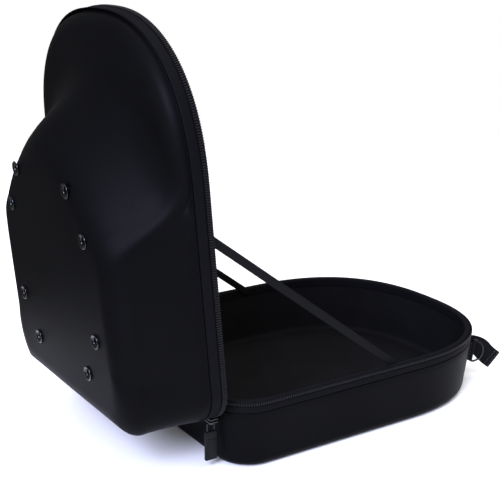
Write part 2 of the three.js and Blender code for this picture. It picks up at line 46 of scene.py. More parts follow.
MM = 0.001
LENGTH = 315
WIDTH = 251
REAR_CORNER = 31.5
STRAIGHT_SIDE = 187.5 # from the back to where the rounded end starts
FRONT_POWER = 2.43    # the rounded end is a superellipse
WALL = 4.5
GAP = 0.3             # clear space between touching pieces
SEAT = 1.6            # the zip tape's seat lies this far inside the outline
BAND = 14.1           # height of the lid's seat
BASE_BAND = 9.4       # the tray's band shows less, as its coil curls in over the rim
LIP = 1.1             # the lid's cloth rolls into the seat with this radius
BASE_LIP = 0.3        # the tray's cloth turns in sharply, close against the tape
RIM = 1.0             # rounding of the rim's edges
BASE_HEIGHT = 60
BASE_DRAFT = 4.6      # the wall leans in by this much from rim to floor
BASE_EDGE = 9         # rounding between wall and floor

BACK_STEPS = 14
CORNER_STEPS = 12
SIDE_STEPS = 36
FRONT_STEPS = 56
ARC_STEPS = 10
WALL_STEPS = 6
FLAT_STEPS = 30


def clamp(value):
    return min(max(value, 0), 1)


def mix(start, end, share):
    return start + (end - start) * share


def around_case():
    """Stations round the outline, from the middle of the back over the far side."""
    half = [("back", i / BACK_STEPS) for i in range(BACK_STEPS)]
    half += [("corner", i / CORNER_STEPS) for i in range(CORNER_STEPS)]
    half += [("side", i / SIDE_STEPS) for i in range(SIDE_STEPS)]
    half += [("front", i / FRONT_STEPS) for i in range(FRONT_STEPS + 1)]
    far = [(stretch, share, 1) for stretch, share in half]
    near = [(stretch, share, -1) for stretch, share in reversed(half[1:-1])]
    return far + near


STATIONS = around_case()


def outline(station, inset, corner=REAR_CORNER):
    """Point of the outline at a station, pulled in by an inset."""
    stretch, share, side = station
    reach = WIDTH / 2 - inset
    angle = share * math.pi / 2
    if stretch == "back":
        return inset, side * share * (reach - corner)
    if stretch == "corner":
        return (inset + corner * (1 - math.cos(angle)),
                side * (reach - corner + corner * math.sin(angle)))
    if stretch == "side":
        return mix(inset + corner, STRAIGHT_SIDE, share), side * reach
    power = 2 / FRONT_POWER
    return (STRAIGHT_SIDE + (LENGTH - inset - STRAIGHT_SIDE) * math.sin(angle) ** power,
            side * reach * abs(math.cos(angle)) ** power)


def wall_rows(station, form, top, inner, band, lip):
    """Rows of (inset, depth, corner) from the rim to the flat top, on one face of the wall."""
    depth, draft, shoulder, corner = form(station)
    if inner:
        start = SEAT + WALL
        rows = [(start - RIM, 0, REAR_CORNER), (start - RIM * 0.3, RIM * 0.3, REAR_CORNER),
                (start, RIM, REAR_CORNER)]
        first = (start, band * 0.6)
        lean, full, arc, thick = GAP + draft + WALL, depth - WALL, shoulder - WALL, WALL
    else:
        rows = [(SEAT + RIM, 0, REAR_CORNER), (SEAT + RIM * 0.3, RIM * 0.3, REAR_CORNER),
                (SEAT, RIM, REAR_CORNER), (SEAT, band - 0.4, REAR_CORNER),
                (SEAT - 0.2, band, REAR_CORNER), (GAP + lip * 0.3, band + 0.3, REAR_CORNER)]
        first = (GAP, band + GAP + lip)
        lean, full, arc, thick = GAP + draft, depth, shoulder, 0
    half_corner = (REAR_CORNER + corner) / 2
    for i in range(WALL_STEPS):
        share = i / WALL_STEPS
        rows.append((mix(first[0], lean, share), mix(first[1], full - arc, share),
                     mix(REAR_CORNER, half_corner, share)))
    for i in range(ARC_STEPS + 1):
        share = i / ARC_STEPS
        angle = share * math.pi / 2
        drop = arc * (1 - math.sin(angle))
        inset = lean + arc * (1 - math.cos(angle))
        turn = mix(half_corner, corner, share)
        x, y = outline(station, inset, turn)
        settled = top(x, y) - thick - drop
        rows.append((inset, mix(full - drop, settled, clamp(2 * share - 1)), turn))
    return rows


def shell_rows(form, top, middle, place, band, lip):
    """Rings of points from the middle of the outer top, over the rim, to the inner middle."""
    rings = []
    for inner in (False, True):
        walls = [wall_rows(station, form, top, inner, band, lip) for station in STATIONS]
        face = []
        for row in range(len(walls[0])):
            ring = []
            for station, wall in zip(STATIONS, walls):
                inset, depth, corner = wall[row]
                x, y = outline(station, inset, corner)
                ring.append(place(x, y, depth))
            face.append(ring)
        edge = [outline(station, wall[-1][0], wall[-1][2])
                for station, wall in zip(STATIONS, walls)]
        thick = WALL if inner else 0
        for step in range(1, FLAT_STEPS + 1):
            share = 1 - step / FLAT_STEPS
            ring = []
            for x, y in edge:
                u, v = mix(middle, x, share), y * share
                ring.append(place(u, v, top(u, v) - thick))
            face.append(ring)
        rings += face if inner else face[::-1]
    return rings


def skin(name, columns, rows, place, real=(1, 1), second=None):
    """A grid bent into place, with its seams and poles merged and its ends filled.

    The UV map is in millimetres, from real, the grid's two lengths. Rows past second take the
    second material.
    """
    bm = bmesh.new()
    bmesh.ops.create_grid(bm, x_segments=columns, y_segments=rows, size=0.5)
    uv = bm.loops.layers.uv.new("real_mm")
    for face in bm.faces:
        for loop in face.loops:
            co = loop.vert.co
            loop[uv].uv = ((co.x + 0.5) * real[0], (co.y + 0.5) * real[1])
        if second is not None and (face.calc_center_median().y + 0.5) * rows > second:
            face.material_index = 1
    for vert in bm.verts:
        column = round((vert.co.x + 0.5) * columns)
        row = round((vert.co.y + 0.5) * rows)
        vert.co = place(column, row) * MM
    bmesh.ops.remove_doubles(bm, verts=bm.verts, dist=1e-6)
    bmesh.ops.holes_fill(bm, edges=[edge for edge in bm.edges if edge.is_boundary], sides=0)
    bmesh.ops.recalc_face_normals(bm, faces=bm.faces)
    return made_object(name, bm)


def made_object(name, bm, unit=1):
    """The bmesh as a smooth object of the scene, at the origin. unit is its measure in metres."""
    bmesh.ops.scale(bm, vec=(unit, unit, unit), verts=bm.verts)
    mesh = bpy.data.meshes.new(name)
    bm.to_mesh(mesh)
    bm.free()
    mesh.shade_smooth()
    piece = bpy.data.objects.new(name, mesh)
    bpy.context.scene.collection.objects.link(piece)
    return piece


def dress(piece, slot, materials, *nodes):
    """Gives a piece its finish and its place on the body, and hides the nodes it stands for."""
    for material in materials:
        piece.data.materials.append(material)
    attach(piece, "root")
    if nodes:
        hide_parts(*nodes)


def colour(text):
    """Linear colour from an sRGB hex value."""
    parts = [int(text[i:i + 2], 16) / 255 for i in (1, 3, 5)]
    linear = [p / 12.92 if p <= 0.04045 else ((p + 0.055) / 1.055) ** 2.4 for p in parts]
    return (*linear, 1)


def node(material, kind, settings=None, links=None, **values):
    """Adds a node: its own settings, its sockets' values, and links from other sockets."""
    made = material.node_tree.nodes.new(kind)
    for key, value in (settings or {}).items():
        setattr(made, key, value)
    for key, value in values.items():
        made.inputs[key.replace("_", " ")].default_value = value
    for key, socket in (links or {}).items():
        material.node_tree.links.new(socket, made.inputs[key])
    return made


def new_material(name):
    material = bpy.data.materials.new(name)
    material.use_nodes = True
    material.node_tree.nodes.clear()
    return material


def finish_material(material, shader):
    output = node(material, "ShaderNodeOutputMaterial")
    material.node_tree.links.new(shader.outputs["BSDF"], output.inputs["Surface"])
    return material


def shell_cloth():
    """Polyester knit hot-pressed on foam: matte black, with a soft blue-grey bloom on its
    rounded edges. The press leaves a fine pebble, drawn at 1.1 mm so that it shows."""
    m = new_material("pressed_polyester_knit")
    place = node(m, "ShaderNodeTexCoord").outputs["Object"]
    pebble = node(m, "ShaderNodeTexVoronoi", links={"Vector": place}, Scale=1 / (1.1 * MM))
    grain = node(m, "ShaderNodeTexNoise", links={"Vector": place}, Scale=1 / (2.4 * MM),
                 Detail=4.0, Roughness=0.6)
    cloud = node(m, "ShaderNodeTexNoise", links={"Vector": place}, Scale=1 / (70 * MM),
                 Detail=2.0)
    tone = node(m, "ShaderNodeMix", {"data_type": "RGBA"}, {"Factor": cloud.outputs["Fac"]},
                A=colour("#060607"), B=colour("#0a0a0b"))
    rough = node(m, "ShaderNodeMapRange", links={"Value": grain.outputs["Fac"]},
                 To_Min=0.4, To_Max=0.47)
    height = node(m, "ShaderNodeMath", {"operation": "MULTIPLY_ADD"},
                  {0: pebble.outputs["Distance"], 2: grain.outputs["Fac"]})
    height.inputs[1].default_value = 0.6
    bump = node(m, "ShaderNodeBump", links={"Height": height.outputs["Value"]},
                Strength=0.16, Distance=0.25 * MM)
    shader = node(m, "ShaderNodeBsdfPrincipled",
                  links={"Base Color": tone.outputs["Result"],
                         "Roughness": rough.outputs["Result"],
                         "Normal": bump.outputs["Normal"]}, Specular_IOR_Level=0.02)
    return finish_material(m, shader)


def lining_cloth():
    """Brushed tricot: a short nap that swallows light, with a faint cloudiness where the nap
    lies another way."""
    m = new_material("brushed_tricot_lining")
    place = node(m, "ShaderNodeTexCoord").outputs["Object"]
    nap = node(m, "ShaderNodeTexNoise", links={"Vector": place}, Scale=1 / (1.3 * MM),
               Detail=5.0, Roughness=0.7)
    lie = node(m, "ShaderNodeTexNoise", links={"Vector": place}, Scale=1 / (28 * MM),
               Detail=3.0)
    tone = node(m, "ShaderNodeMix", {"data_type": "RGBA"}, {"Factor": lie.outputs["Fac"]},
                A=colour("#0b0b0c"), B=colour("#121214"))
    bump = node(m, "ShaderNodeBump", links={"Height": nap.outputs["Fac"]},
                Strength=0.3, Distance=0.3 * MM)
    shader = node(m, "ShaderNodeBsdfPrincipled",
                  links={"Base Color": tone.outputs["Result"],
                         "Normal": bump.outputs["Normal"]},
                  Roughness=0.85, Specular_IOR_Level=0.03)
    return finish_material(m, shader)


PRESSED = shell_cloth()
LINING = lining_cloth()


def in_base(x, y, depth):
    return Vector((x - LENGTH / 2, y, BASE_HEIGHT - depth))


def base_form(station):
    return BASE_HEIGHT, BASE_DRAFT, BASE_EDGE, REAR_CORNER - BASE_EDGE / 2


def ring_skin(name, rings, second=None):
    """A closed skin through rings of points."""
    count = len(rings[0])
    return skin(name, count, len(rings) - 1, lambda i, j: rings[j][i % count], second=second)


base_rings = shell_rows(base_form, lambda x, y: BASE_HEIGHT, LENGTH / 2, in_base,
                        BASE_BAND, BASE_LIP)
base_body = ring_skin("base_body", base_rings, second=len(base_rings) / 2)
dress(base_body, "shell_cloth", (PRESSED, LINING), "base_shell")

# ---------------------------------------------------------------------------
# Lid. Pressed like the tray, with a deep crown over the hinge and a shallow brim end. It
# stands open and leans back 5 degrees, one zip band lower than the tray's rim.

LEAN = 5
LID_BEHIND = 3        # gap between the backs of tray and lid
CROWN_DEPTH = 78.8
CROWN_BULGE = 0.8     # the crown's flat top domes up by this much
CROWN_BULGE_LONG = 110
CROWN_BULGE_WIDE = 100
CROWN_DRAFT = 17.9
CROWN_SHOULDER = 19.7
CROWN_CORNER = 25.9
CROWN_MIDDLE = 117.8
REAR_DRAFT = 1.9
BRIM_DEPTH = 25
BRIM_DRAFT = 2.5
BRIM_SHOULDER = 13.5
FOOT_START = 184.8    # the slope's foot meets the sides here, and bows out to the middle
FOOT_BOW = 78
FOOT_HALF = 118.4
FOOT_STEPS = 40
SLOPE_RUN = 41        # from the slope's foot to its head
SOFT_ROUNDS = 16
SOFT_START = 44       # the relaxed zone reaches this far past the slope in the first round
SOFT_END = 4

lid_turn = (Matrix.Translation((-LENGTH / 2 - LID_BEHIND, 0, BASE_HEIGHT - BAND))
            @ Matrix.Rotation(-math.radians(90 + LEAN), 4, "Y"))


def in_lid(u, v, depth):
    return lid_turn @ Vector((u, v, depth))


def foot_at(v):
    return FOOT_START + FOOT_BOW * (1 - clamp(abs(v) / FOOT_HALF) ** 2)


foot_v = np.linspace(0, WIDTH / 2, FOOT_STEPS + 1)
foot_line = np.array([[foot_at(v), v] for v in foot_v])
foot_runs = np.diff(foot_line, axis=0)
foot_squares = (foot_runs ** 2).sum(axis=1)


def crown_share(u, v):
    """1 on the crown, 0 on the brim end, by the distance behind the foot of the slope."""
    if u >= foot_at(v):
        return 0
    away = np.array([u, abs(v)]) - foot_line[:-1]
    along = np.clip((away * foot_runs).sum(axis=1) / foot_squares, 0, 1)
    nearest = np.sqrt(((away - along[:, None] * foot_runs) ** 2).sum(axis=1).min())
    share = clamp(nearest / SLOPE_RUN)
    return share * share * (3 - 2 * share)


def lid_top(u, v):
    away = ((u - CROWN_MIDDLE) / CROWN_BULGE_LONG) ** 2 + (v / CROWN_BULGE_WIDE) ** 2
    crown = CROWN_DEPTH + CROWN_BULGE * (1 - clamp(away))
    return mix(BRIM_DEPTH, crown, crown_share(u, v))


def lid_form(station):
    x, y = outline(station, BRIM_DRAFT + BRIM_SHOULDER)
    high = crown_share(x, y)
    rear = {"back": 1, "corner": 1 - station[1]}.get(station[0], 0)
    return (lid_top(x, y), mix(BRIM_DRAFT, mix(CROWN_DRAFT, REAR_DRAFT, rear), high),
            mix(BRIM_SHOULDER, CROWN_SHOULDER, high), mix(REAR_CORNER, CROWN_CORNER, high))


lid_rings = shell_rows(lid_form, lid_top, CROWN_MIDDLE, in_lid, BAND, LIP)
lid_body = ring_skin("lid_body", lid_rings, second=len(lid_rings) / 2)


def soften(piece, rounds):
    """Relaxes the slope and its ends, in a zone that narrows with each round."""
    bm = bmesh.new()
    bm.from_mesh(piece.data)
    back_turn = lid_turn.inverted()
    behind = []
    for vert in bm.verts:
        u, v, depth = back_turn @ (vert.co / MM)
        if depth > BAND + SOFT_END:
            behind.append((abs(foot_at(v) - u - SLOPE_RUN / 2), vert))
    for step in range(rounds):
        zone = SLOPE_RUN / 2 + mix(SOFT_START, SOFT_END, step / rounds)
        bmesh.ops.smooth_vert(bm, verts=[vert for away, vert in behind if away < zone],
                              factor=0.5, use_axis_x=True, use_axis_y=True, use_axis_z=True)
    bm.to_mesh(piece.data)
    bm.free()


soften(lid_body, SOFT_ROUNDS)
dress(lid_body, "shell_cloth", (PRESSED, LINING), "lid_shell")

# ---------------------------------------------------------------------------
# Vent eyelets. Brass eyelets lacquered black, set through holes in the crown: a rolled rim
# outside, a barrel through the wall, and a flat washer inside.

VENT_BARREL = 3.4
# Each vent's place along and across from the crown's middle, and an eyelet's (radius, level)
VENTS = [(74, 48.6), (40, 70.4), (-40, 70.4), (-74, 48.6)]
VENT_PROFILE = [(3.1, -5.9), (5.5, -5.9), (5.5, -5.1), (3.4, -5.1), (3.4, 0.3), (5.7, 0.3),
                (5.95, 0.42), (6.0, 0.7), (5.9, 1.0), (5.65, 1.22), (5.3, 1.3), (4.95, 1.22),
                (4.7, 1.02), (4.4, 0.84), (4.0, 0.7), (3.6, 0.5), (3.3, 0.1), (3.15, -0.6)]
VENT_TURNS = 36
DRILL_SIDES = 24


def black_lacquer():
    """Baked black lacquer on brass: near black, with a sharp grey glint on each rolled edge."""
    m = new_material("black_lacquered_brass")
    place = node(m, "ShaderNodeTexCoord").outputs["Object"]
    orange_peel = node(m, "ShaderNodeTexNoise", links={"Vector": place},
                       Scale=1 / (0.8 * MM), Detail=2.0)
    rough = node(m, "ShaderNodeMapRange", links={"Value": orange_peel.outputs["Fac"]},
                 To_Min=0.14, To_Max=0.24)
    bump = node(m, "ShaderNodeBump", links={"Height": orange_peel.outputs["Fac"]},
                Strength=0.08, Distance=0.05 * MM)
    shader = node(m, "ShaderNodeBsdfPrincipled",
                  links={"Roughness": rough.outputs["Result"],
                         "Normal": bump.outputs["Normal"]}, Base_Color=colour("#050506"))
    return finish_material(m, shader)


LACQUER = black_lacquer()


def vent_frame(u, v):
    """Where an eyelet stands in the lid: its Z points out of the crown."""
    step = 0.5
    slope_u = (lid_top(u + step, v) - lid_top(u - step, v)) / (2 * step)
    slope_v = (lid_top(u, v + step) - lid_top(u, v - step)) / (2 * step)
    turn = Vector((-slope_u, -slope_v, 1)).to_track_quat("Z", "Y").to_matrix().to_4x4()
    return lid_turn @ Matrix.Translation((u, v, lid_top(u, v))) @ turn


vent_frames = [vent_frame(CROWN_MIDDLE + along, side * across)
               for along, across in VENTS for side in (-1, 1)]

drills = bmesh.new()
for matrix in vent_frames:
    bmesh.ops.create_cone(drills, cap_ends=True, segments=DRILL_SIDES,
                          radius1=VENT_BARREL + GAP, radius2=VENT_BARREL + GAP,
                          depth=WALL * 4, matrix=matrix)
drill = made_object("drill", drills, MM)
cut = lid_body.modifiers.new("vents", "BOOLEAN")
cut.operation = "DIFFERENCE"
cut.solver = "EXACT"
cut.object = drill
bpy.context.view_layer.update()
shape = lid_body.evaluated_get(bpy.context.evaluated_depsgraph_get())
drilled = bpy.data.meshes.new_from_object(shape)
lid_body.modifiers.clear()
lid_body.data = drilled
bpy.data.objects.remove(drill)

for number, matrix in enumerate(vent_frames, 1):
    bm = bmesh.new()
    points = [bm.verts.new((radius, 0, level)) for radius, level in VENT_PROFILE]
    line = [bm.edges.new(pair) for pair in zip(points, points[1:] + points[:1])]
    bmesh.ops.spin(bm, geom=points + line, axis=(0, 0, 1), cent=(0, 0, 0),
                   angle=2 * math.pi, steps=VENT_TURNS, use_merge=True)
    bmesh.ops.remove_doubles(bm, verts=bm.verts, dist=1e-4)
    bmesh.ops.recalc_face_normals(bm, faces=bm.faces)
    bmesh.ops.transform(bm, matrix=matrix, verts=bm.verts)
    eyelet = made_object(f"eyelet_{number}", bm, MM)
    dress(eyelet, "black_metal", (LACQUER,), f"vent_eyelet_{number}")

# ---------------------------------------------------------------------------
# Zip band. A woven polyester tape sewn into the seat round each rim, and along its edge the
# turns of a nylon coil, with the thread that holds them showing between. It is open at the
# hinge. Turns and thread are drawn coarse so that they show.

TAPE_WIDTH = 9
COIL_WIDTH = 4.8
TOOTH_PITCH = 2.0
TOOTH_THICK = 1.25    # along the coil
TOOTH_DEEP = 1.15     # from the tape outwards
TOOTH_ROUND = 0.42
TOOTH_PROUD = 0.45    # how far a turn stands out past the case's outline
TOOTH_SHORT = 0.5     # a turn is this much shorter than the coil is wide
THREAD = 0.75
RUN_STEPS = 400


def evenly(points, count):
    """The line through the points as count evenly spaced ones, and its length."""
    points = np.array(points)
    steps = np.linalg.norm(np.diff(points, axis=0), axis=1)
    lengths = np.concatenate([[0], np.cumsum(steps)])
    wanted = np.linspace(0, lengths[-1], count)
    even = [np.interp(wanted, lengths, column) for column in points.T]
    return np.stack(even, axis=1), lengths[-1]


def run_round(count):
    """Evenly spaced points round the outline from one rear corner to the other, the outward
    normal at each, and the length of the run."""
    dense = [outline(station, 0) for station in STATIONS if station[0] != "back"]
    even, length = evenly(dense, count)
    along = np.gradient(even, axis=0)
    along /= np.linalg.norm(along, axis=1)[:, None]
    outward = np.stack([along[:, 1], -along[:, 0]], axis=1)
    if outward[count // 2][0] < 0:
        outward = -outward
    return even, outward, length


run_points, run_outward, run_length = run_round(RUN_STEPS + 1)


def band_skin(name, section, place, width):
    """A strip round the rim. Its section is a closed list of (inset, depth)."""
    count = len(section)

    def at(i, j):
        inset, depth = section[j % count]
        x, y = run_points[i] - run_outward[i] * inset
        return place(x, y, depth)
    return skin(name, RUN_STEPS, count, at, real=(run_length, width))


def woven_tape(name, tone_hex, pitch):
    """Woven polyester: ribs across the tape, each a bundle of weft threads, with the warp just
    showing between them. Threads are drawn a little coarse so that they show."""
    m = new_material(name)
    place = node(m, "ShaderNodeUVMap", {"uv_map": "real_mm"}).outputs["UV"]
    ribs = node(m, "ShaderNodeTexWave", {"bands_direction": "X"}, {"Vector": place},
                Scale=2 * math.pi / (20 * pitch), Distortion=0.5)
    warp = node(m, "ShaderNodeTexWave", {"bands_direction": "Y"}, {"Vector": place},
                Scale=2 * math.pi / (20 * pitch * 0.7), Distortion=0.3)
    fuzz = node(m, "ShaderNodeTexNoise", links={"Vector": place}, Scale=3.0, Detail=3.0)
    weave = node(m, "ShaderNodeMath", {"operation": "MULTIPLY"},
                 {0: ribs.outputs["Fac"], 1: warp.outputs["Fac"]})
    base = colour(tone_hex)
    tone = node(m, "ShaderNodeMix", {"data_type": "RGBA"}, {"Factor": weave.outputs["Value"]},
                A=base, B=[1.7 * part for part in base[:3]] + [1])
    height = node(m, "ShaderNodeMath", {"operation": "ADD"},
                  {0: weave.outputs["Value"], 1: fuzz.outputs["Fac"]})
    bump = node(m, "ShaderNodeBump", links={"Height": height.outputs["Value"]},
                Strength=0.35, Distance=0.2 * MM)
    shader = node(m, "ShaderNodeBsdfPrincipled",
                  links={"Base Color": tone.outputs["Result"],
                         "Normal": bump.outputs["Normal"]},
                  Roughness=0.6, Specular_IOR_Level=0.03, Sheen_Weight=0.008,
                  Sheen_Roughness=0.4, Sheen_Tint=colour("#8d90a4"))
    return finish_material(m, shader)


def coil_nylon():
    """Drawn nylon monofilament: black, and smooth enough for a small highlight on each turn."""
    m = new_material("nylon_monofilament")
    place = node(m, "ShaderNodeTexCoord").outputs["Object"]
    wear = node(m, "ShaderNodeTexNoise", links={"Vector": place}, Scale=1 / (3 * MM),
                Detail=2.0)
    tone = node(m, "ShaderNodeMix", {"data_type": "RGBA"}, {"Factor": wear.outputs["Fac"]},
                A=colour("#0c0c0e"), B=colour("#131315"))
    rough = node(m, "ShaderNodeMapRange", links={"Value": wear.outputs["Fac"]},
                 To_Min=0.3, To_Max=0.45)
    shader = node(m, "ShaderNodeBsdfPrincipled",
                  links={"Base Color": tone.outputs["Result"],
                         "Roughness": rough.outputs["Result"]}, Specular_IOR_Level=0.12)
    return finish_material(m, shader)


TAPE = woven_tape("woven_zip_tape", "#08080a", 0.9)
NYLON = coil_nylon()

# Sections of the lid's band as (inset, depth): the tape's face, the part under the coil, and
# the thread
TAPE_SECTION = [(1.25, 5.2), (0.6, 5.15), (0.32, 5.5), (0.22, 6.4), (0.2, 8), (0.2, 10.5),
                (0.22, 12.2), (0.34, 13.1), (0.7, 13.6), (1.25, 13.7)]
BACKING_SECTION = [(1.25, 0.15), (0.75, 0.15), (0.6, 0.6), (0.6, 4.3), (0.75, 4.7),
                   (1.25, 4.75)]
THREAD_SECTION = [(0.3 + THREAD * 0.4 * math.cos(a), 2.4 + THREAD / 2 * math.sin(a))
                  for a in np.linspace(0, 2 * math.pi, 8, endpoint=False)]


def joined(piece, others):
    """Adds the other objects' meshes to the piece."""
    for other in others:
        bm = bmesh.new()
        bm.from_mesh(piece.data)
        bm.from_mesh(other.data)
        bm.to_mesh(piece.data)
        bm.free()
        bpy.data.objects.remove(other)


def axes(x, y, z):
    """Matrix that turns the three axes to the given directions."""
    return Matrix((x, y, z)).transposed().to_4x4()


def rounded_box(size, radius, segments):
    """Mesh of a box with rounded edges."""
    box = bmesh.new()
    bmesh.ops.create_cube(box, size=1)
    bmesh.ops.scale(box, vec=size, verts=box.verts)
    bmesh.ops.bevel(box, geom=box.edges[:], affect="EDGES", offset=radius, segments=segments,
                    profile=0.5, material=-1)
    mesh = bpy.data.meshes.new("box")
    box.to_mesh(mesh)
    box.free()
    return mesh


def add_copy(bm, mesh, matrix):
    """Adds a copy of the mesh to bm, moved by the matrix."""
    start = len(bm.verts)
    bm.from_mesh(mesh)
    bm.verts.ensure_lookup_table()
    bmesh.ops.transform(bm, matrix=matrix, verts=bm.verts[start:])


def coil(name, place, width):
    """Turns of nylon across the tape's edge."""
    points, outward, _ = run_round(int(run_length / TOOTH_PITCH))
    bm = bmesh.new()
    tooth = rounded_box((TOOTH_THICK, TOOTH_DEEP, width - TOOTH_SHORT), TOOTH_ROUND, 2)
    for (x, y), (nx, ny) in zip(points, outward):
        inset = TOOTH_DEEP / 2 - TOOTH_PROUD
        middle = place(x - nx * inset, y - ny * inset, width / 2)
        out = place(x + nx, y + ny, 0) - place(x, y, 0)
        up = place(x, y, 0) - place(x, y, 1)
        add_copy(bm, tooth, Matrix.Translation(middle) @ axes(up.cross(out), out, up))
    return made_object(name, bm, MM)


for name, place, share in (("base", in_base, BASE_BAND / BAND), ("lid", in_lid, 1)):
    sections = [[(inset, depth * share) for inset, depth in section]
                for section in (TAPE_SECTION, BACKING_SECTION, THREAD_SECTION)]
    tape = band_skin(f"{name}_tape", sections[0], place, 2 * TAPE_WIDTH)
    backing = band_skin("backing", sections[1], place, 2 * COIL_WIDTH)
    thread = band_skin("thread", sections[2], place, THREAD)
    joined(tape, [backing, thread])
    dress(tape, "tape_cloth", (TAPE,), f"{name}_zip_tape")
    turns = coil(f"{name}_coil", place, COIL_WIDTH * share)
    dress(turns, "zip_coil", (NYLON,), f"{name}_zip_coil")

# ---------------------------------------------------------------------------
# Rim bindings. Grosgrain ribbon folded over each rim and stitched through, so that the foam's
# cut edge doesn't show. It shows as a thin smooth band inside the coil.

BINDING_ROUND = 1100
BINDING_WIDE = 26
BINDING_SECTION = [(1.36, 1.6), (1.5, 0.5), (1.9, -0.05), (2.7, -0.22), (3.8, -0.26),
                   (4.9, -0.22), (5.7, -0.02), (6.2, 0.5), (6.34, 1.6), (6.34, 4), (6.34, 7),
                   (6.34, 9.6), (6.05, 9.9), (5.9, 9.6), (5.9, 1.6), (1.7, 1.6)]

BINDING = woven_tape("grosgrain_binding", "#0b0b0e", 0.8)


def full_ring(section, place):
    """Rings of points for a strip that runs all the way round."""
    return [[place(*outline(station, inset), depth) for station in STATIONS]
            for inset, depth in section + section[:1]]


for name, place in (("base", in_base), ("lid", in_lid)):
    rings = full_ring(BINDING_SECTION, place)
    count = len(STATIONS)
    binding = skin(f"{name}_binding", count, len(rings) - 1,
                   lambda i, j: rings[j][i % count], real=(BINDING_ROUND, BINDING_WIDE))
    dress(binding, "tape_cloth", (BINDING,))

# ---------------------------------------------------------------------------
# Cloth hinge. A plain strip of cloth sewn into both seats along the back. With the lid open it
# hangs between them in one fold.

HINGE_THICK = 0.9
HINGE_HALF = WIDTH / 2 - REAR_CORNER - 6
FOLD_STEPS = 60
HINGE_COLUMNS = 80
RIPPLE = 0.25         # slack cloth waves by this much in the fold
RIPPLE_TURNS = 41


def smooth_path(points, count):
    """Points on one smooth curve through the given ones, evenly spaced, and its length."""
    given = np.array([list(p) for p in points], float)
    padded = np.vstack([2 * given[0] - given[1], given, 2 * given[-1] - given[-2]])
    dense = []
    for a, b, c, d in zip(padded, padded[1:], padded[2:], padded[3:]):
        for t in np.linspace(0, 1, 12, endpoint=False):
            dense.append(0.5 * (2 * b + (c - a) * t + (2 * a - 5 * b + 4 * c - d) * t ** 2
                                + (3 * b - a - 3 * c + d) * t ** 3))
    even, length = evenly(dense + [given[-1]], count)
    return [Vector(point) for point in even], length


back = -LENGTH / 2
foot = BASE_HEIGHT - BAND
hinge_seat = SEAT - GAP - HINGE_THICK / 2
sag_back = back - LID_BEHIND - GAP - HINGE_THICK
# Down the tray's back, round the fold, and up the lid's back
hinge_line = [
    (back + hinge_seat, 0, BASE_HEIGHT - 1), (back + hinge_seat, 0, foot + 1.6),
    (back - 1.2, 0, foot - 0.6), (back - 1.5, 0, foot - 3.85),
    (mix(back, sag_back, 0.75), 0, foot - 6.4), (sag_back - 1.5, 0, foot - 4.4),
    in_lid(hinge_seat, 0, 3.4) + Vector((0, 0, -1.2)), in_lid(hinge_seat, 0, 5),
    in_lid(hinge_seat, 0, BAND - 1)]
hinge_path, hinge_length = smooth_path(hinge_line, FOLD_STEPS + 1)


def heading(path, i):
    """The way a path runs at one of its points."""
    return (path[min(i + 1, len(path) - 1)] - path[max(i - 1, 0)]).normalized()


def hinge_point(i, j):
    """Column i runs round the fold and back on the cloth's other face, row j across the case."""
    last = len(hinge_path) - 1
    turned = i > last
    k = max(2 * last + 1 - i, 0) if turned else i
    face = Vector((0, 1, 0)).cross(heading(hinge_path, k)) * (HINGE_THICK / 2)
    share = j / HINGE_COLUMNS
    ripple = RIPPLE * math.sin(share * RIPPLE_TURNS) * math.sin(math.pi * k / last) ** 2
    point = hinge_path[k] + (-face if turned else face) + Vector((0, 0, ripple))
    point.y = mix(-HINGE_HALF, HINGE_HALF, share)
    return point


hinge_cloth = skin("hinge_cloth", 2 * FOLD_STEPS + 2, HINGE_COLUMNS, hinge_point,
                   real=(2 * hinge_length, 2 * HINGE_HALF))
dress(hinge_cloth, "tape_cloth", (TAPE,), "hinge_strip")

# ---------------------------------------------------------------------------
# Stay tapes. Narrow twill tape on each side, sewn inside both rims. The open lid's weight pulls
# them straight.

STAY_WIDTH = 7
STAY_THICK = 1.2
STAY_ON_LID = 152     # where the tapes cross the rims, from the hinge
STAY_ON_BASE = 166
STAY_TAIL = 7.5       # sewn down below the rim
STAY_SWAY = 0.105
STAY_STEPS = 120

TWILL = woven_tape("polyester_twill_tape", "#0f0f10", 1.1)


def strap_section(width, thick):
    """Closed section of a flat strap: (across, out) with rounded edges and a low crown."""
    half, lift = width / 2, thick / 2
    edge = min(lift, 0.8)
    face = [(-half + edge, 0.92), (-half / 2, 1), (0, 1), (half / 2, 1), (half - edge, 0.92),
            (half - edge / 4, 0.6), (half, 0), (half - edge / 4, -0.6)]
    return [(turn * across, turn * out * lift) for turn in (1, -1) for across, out in face]


def strap(name, path, faces, width, thick, lengthwise):
    """A flat strap along a path. faces gives the way its face looks at each point, and thick
    may be a list with one thickness for each point."""
    thicks = thick if isinstance(thick, list) else [thick] * len(path)
    sections = [strap_section(width, t) for t in thicks]
    count = len(sections[0])

    def at(i, j):
        along = heading(path, i)
        across = along.cross(faces[i]).normalized()
        face = across.cross(along).normalized()
        a, b = sections[i][j % count]
        return path[i] + across * a + face * b
    return skin(name, len(path) - 1, count, at,
                real=(lengthwise, 2 * width + 2 * thicks[0]))


